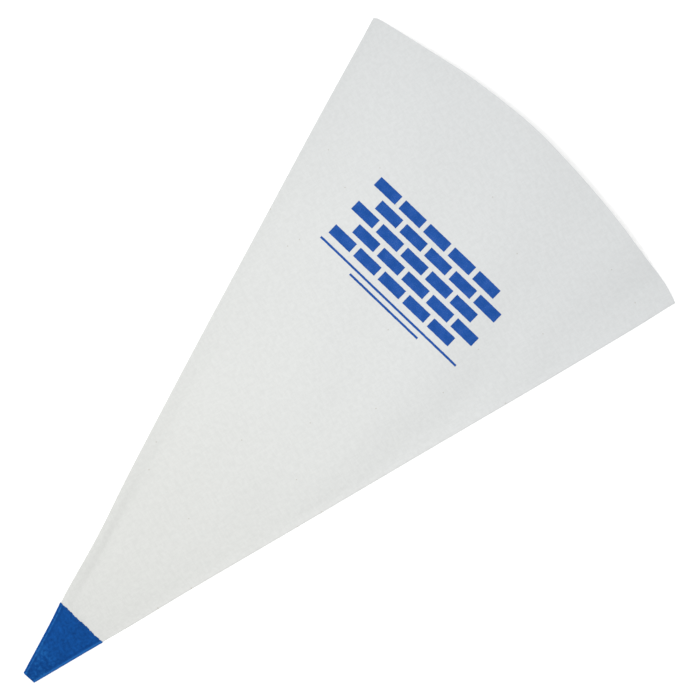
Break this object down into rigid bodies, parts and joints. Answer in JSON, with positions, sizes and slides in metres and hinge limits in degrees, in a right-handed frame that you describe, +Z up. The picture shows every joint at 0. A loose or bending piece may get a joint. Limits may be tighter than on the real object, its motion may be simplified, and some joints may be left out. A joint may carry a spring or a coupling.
{
  "type": "grout bag",
  "caption": "Flat conical bag of white canvas with a dipped blue vinyl tip, filled at the wide mouth and squeezed to pipe mortar or icing.",
  "frame": {"origin": "middle of the bag's box, on the flat surface that it lies on", "axes": "+Y from the cut tip to the wide mouth, +X from the sewn edge to the folded edge, +Z up out of the printed side"},
  "size_m": [0.328, 0.584, 0.013],
  "materials": {
    "canvas": "matte",
    "film": "satin",
    "thread": "matte",
    "vinyl": "satin",
    "ink": "matte"
  },
  "bodies": {
    "root": {"canvas_panel": "canvas", "inner_lining": "film", "needle_thread": "thread", "bobbin_thread": "thread", "dipped_tip": "vinyl", "print": "ink"}
  },
  "joints": []
}
